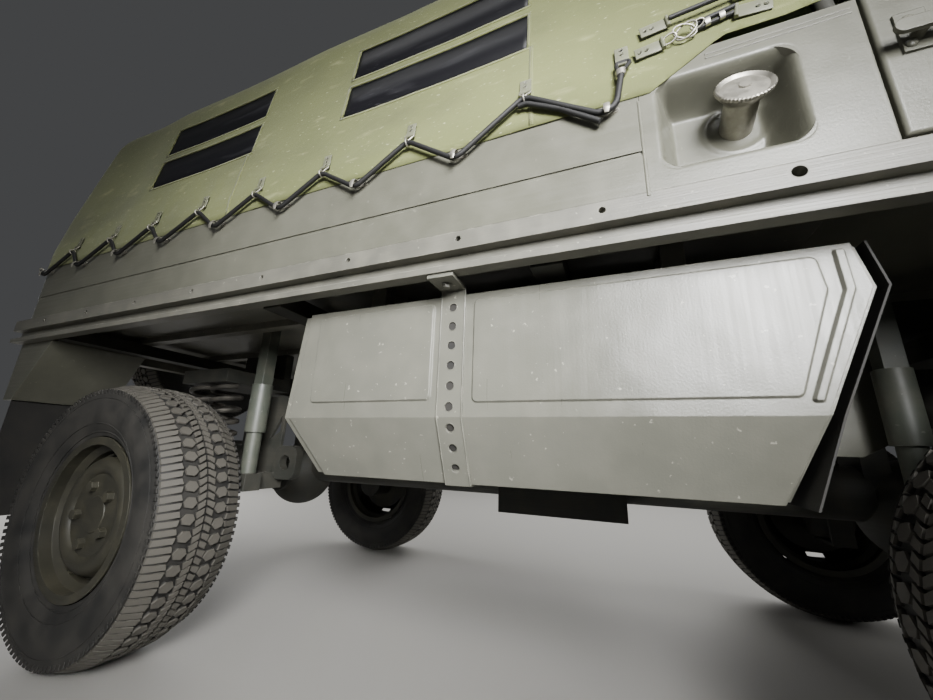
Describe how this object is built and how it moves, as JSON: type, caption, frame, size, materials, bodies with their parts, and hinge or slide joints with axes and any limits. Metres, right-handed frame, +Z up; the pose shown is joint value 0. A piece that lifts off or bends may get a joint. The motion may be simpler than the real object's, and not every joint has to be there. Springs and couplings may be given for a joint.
{
  "type": "light military cargo truck",
  "caption": "Light forward-control cargo truck with a steel load bed, hooped canvas tilt laced to the walls, side fuel tank, portal axles, hinged doors and steered front wheels.",
  "frame": {"origin": "on the ground, midway between the axles and on the middle plane", "axes": "+X forward, +Y to the left, +Z up"},
  "size_m": [4.175, 2.14, 2.045],
  "materials": {
    "body_paint": "satin",
    "wall_paint": "satin",
    "chassis_paint": "dusty matte",
    "tank_paint": "satin",
    "wheel_paint": "dusty satin",
    "canvas": "woven",
    "window_film": "satin",
    "tyre": "dusty",
    "cord": "matte",
    "hook_steel": "worn",
    "cap_steel": "dull",
    "spring_steel": "dusty",
    "shock_paint": "dusty",
    "exhaust_steel": "scaled",
    "engine_iron": "rough",
    "glass": "clear",
    "lamp_glass": "clear",
    "tail_lens": "gloss",
    "flap_rubber": "matte",
    "seat_cover": "grained",
    "slat_wood": "varnished",
    "wheel_plastic": "satin",
    "mirror_paint": "satin"
  },
  "bodies": {
    "truck": {"backbone": "chassis_paint", "bench_seats": "slat_wood", "cab_floor": "body_paint", "cab_nose": "body_paint", "canvas_tilt": "canvas", "cargo_floor": "body_paint", "coil_springs": "spring_steel", "corner_panels": "body_paint", "crossmembers": "chassis_paint", "dashboard": "body_paint", "splash_guard": "chassis_paint", "spring_towers": "chassis_paint", "engine_block": "engine_iron", "exhaust": "exhaust_steel", "filler_cap": "cap_steel", "front_axle": "chassis_paint", "front_bumper": "body_paint", "front_lamps": "lamp_glass", "front_seats": "seat_cover", "fuel_tank": "tank_paint", "grille": "body_paint", "lacing_cords": "cord", "lacing_hooks": "hook_steel", "mirrors": "mirror_paint", "mudflaps": "flap_rubber", "rear_axle": "chassis_paint", "rear_lockers": "body_paint", "shock_absorbers": "shock_paint", "side_locker": "tank_paint", "side_wall_left": "wall_paint", "side_wall_right": "wall_paint", "tail_lamps": "tail_lens", "tank_mounts": "tank_paint", "tilt_hoops": "chassis_paint", "tilt_rings": "hook_steel", "tilt_windows": "window_film", "tow_hitch": "chassis_paint", "windscreen_frame": "body_paint", "windscreen_glass": "glass"},
    "wheel_rear_right": {"tyre_rear_right": "tyre", "rim_rear_right": "wheel_paint"},
    "wheel_rear_left": {"tyre_rear_left": "tyre", "rim_rear_left": "wheel_paint"},
    "knuckle_right": {"knuckle_right": "chassis_paint"},
    "knuckle_left": {"knuckle_left": "chassis_paint"},
    "wheel_front_right": {"tyre_front_right": "tyre", "rim_front_right": "wheel_paint"},
    "wheel_front_left": {"tyre_front_left": "tyre", "rim_front_left": "wheel_paint"},
    "door_right": {"door_right": "body_paint", "door_glass_right": "glass"},
    "door_left": {"door_left": "body_paint", "door_glass_left": "glass"},
    "rear_door": {"rear_door": "wall_paint", "tyre_spare": "tyre", "rim_spare": "wheel_paint"},
    "steering_wheel": {"steering_wheel": "wheel_plastic"}
  },
  "joints": [
    {"name": "spin_rear_right", "type": "hinge", "parent": "truck", "child": "wheel_rear_right", "pos_m": [-1.1, -0.72, 0.387], "axis": [0, 1, 0], "continuous": true},
    {"name": "spin_rear_left", "type": "hinge", "parent": "truck", "child": "wheel_rear_left", "pos_m": [-1.1, 0.72, 0.387], "axis": [0, 1, 0], "continuous": true},
    {"name": "steer_right", "type": "hinge", "parent": "truck", "child": "knuckle_right", "pos_m": [1.1, -0.6, 0.43], "axis": [0, 0, 1], "range_deg": [-30, 30]},
    {"name": "steer_left", "type": "hinge", "parent": "truck", "child": "knuckle_left", "pos_m": [1.1, 0.6, 0.43], "axis": [0, 0, 1], "range_deg": [-30, 30]},
    {"name": "spin_front_right", "type": "hinge", "parent": "knuckle_right", "child": "wheel_front_right", "pos_m": [1.1, -0.72, 0.387], "axis": [0, 1, 0], "continuous": true},
    {"name": "spin_front_left", "type": "hinge", "parent": "knuckle_left", "child": "wheel_front_left", "pos_m": [1.1, 0.72, 0.387], "axis": [0, 1, 0], "continuous": true},
    {"name": "turn_steering_wheel", "type": "hinge", "parent": "truck", "child": "steering_wheel", "pos_m": [1.4, 0.54, 1.38], "axis": [-0.5736, 0, 0.8192], "range_deg": [-360, 360]},
    {"name": "open_door_right", "type": "hinge", "parent": "truck", "child": "door_right", "pos_m": [1.5165, -0.893, 1.2], "axis": [0, 0, 1], "range_deg": [0, 75]},
    {"name": "open_door_left", "type": "hinge", "parent": "truck", "child": "door_left", "pos_m": [1.5165, 0.893, 1.2], "axis": [0, 0, -1], "range_deg": [0, 75]},
    {"name": "open_rear_door", "type": "hinge", "parent": "truck", "child": "rear_door", "pos_m": [-1.712, 0.474, 1.15], "axis": [0, 0, -1], "range_deg": [0, 95]}
  ],
  "couplings": [
    {"joint": "steer_right", "follows": "steer_left", "ratio": 1},
    {"joint": "turn_steering_wheel", "follows": "steer_left", "ratio": 12}
  ]
}
